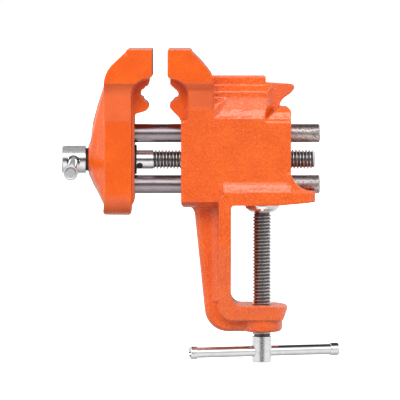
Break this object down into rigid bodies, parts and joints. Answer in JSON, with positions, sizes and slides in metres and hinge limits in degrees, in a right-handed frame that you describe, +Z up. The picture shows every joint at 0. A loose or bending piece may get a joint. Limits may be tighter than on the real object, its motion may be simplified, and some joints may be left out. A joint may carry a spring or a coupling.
{
  "type": "bench vise",
  "caption": "Clamp-on bench vise: cast body with anvil and C-frame table clamp, sliding jaw on guide rods, pipe jaws, and two screws with sliding T-bars.",
  "frame": {"origin": "on the clamp screw's axis, in the plane of the seat that rests on the table", "axes": "+X towards the rear of the vise, away from the moving jaw; +Y across the jaws; +Z up, along the clamp screw; the table seat faces -Z"},
  "size_m": [0.1771, 0.0838, 0.1993],
  "materials": {
    "cast_paint": "glossy orange enamel on rough cast iron",
    "rod_steel": "dull bright-drawn steel, lightly oiled",
    "bright_zinc": "bright zinc plated steel",
    "bright_chrome": "polished nickel or chrome plate",
    "dark_steel": "black oxide"
  },
  "bodies": {
    "body": {"body_casting": "cast_paint", "main_nut": "dark_steel", "nut_set_screw": "dark_steel"},
    "moving_jaw_carriage": {"moving_jaw": "cast_paint", "upper_guide_rod": "rod_steel", "lower_guide_rod": "rod_steel", "upper_rod_pin": "dark_steel", "lower_rod_pin": "dark_steel", "thrust_washer": "dark_steel", "retaining_washer": "dark_steel"},
    "jaw_screw": {"main_screw": "bright_zinc", "retaining_pin": "dark_steel"},
    "main_handle": {"main_handle_bar": "bright_chrome", "main_handle_cap_near": "bright_chrome", "main_handle_cap_far": "bright_chrome"},
    "pad": {"clamp_pad": "bright_chrome"},
    "clamp_screw_body": {"clamp_screw": "bright_zinc"},
    "clamp_handle": {"clamp_handle_bar": "bright_chrome", "clamp_handle_cap_left": "bright_chrome", "clamp_handle_cap_right": "bright_chrome"}
  },
  "joints": [
    {"name": "jaw_slide", "type": "slide", "parent": "body", "child": "moving_jaw_carriage", "axis": [-1, 0, 0], "range_m": [-0.0095, 0.047]},
    {"name": "main_screw_turn", "type": "hinge", "parent": "moving_jaw_carriage", "child": "jaw_screw", "pos_m": [-0.1194, 0, 0.028], "axis": [-1, 0, 0], "range_deg": [-1620, 8000]},
    {"name": "main_handle_slide", "type": "slide", "parent": "jaw_screw", "child": "main_handle", "axis": [0, -0.9936, -0.1132], "range_m": [-0.0375, 0.0155]},
    {"name": "clamp_travel", "type": "slide", "parent": "body", "child": "pad", "axis": [0, 0, -1], "range_m": [0, 0.055]},
    {"name": "clamp_screw_turn", "type": "hinge", "parent": "pad", "child": "clamp_screw_body", "pos_m": [0, 0, -0.04], "axis": [0, 0, -1], "range_deg": [0, 9400]},
    {"name": "clamp_handle_slide", "type": "slide", "parent": "clamp_screw_body", "child": "clamp_handle", "axis": [0.9703, 0.2419, 0], "range_m": [-0.0382, 0.0357]}
  ],
  "couplings": [
    {"joint": "main_screw_turn", "follows": "jaw_slide", "rad_per_m": 2968.4},
    {"joint": "clamp_screw_turn", "follows": "clamp_travel", "rad_per_m": 2968.4}
  ]
}
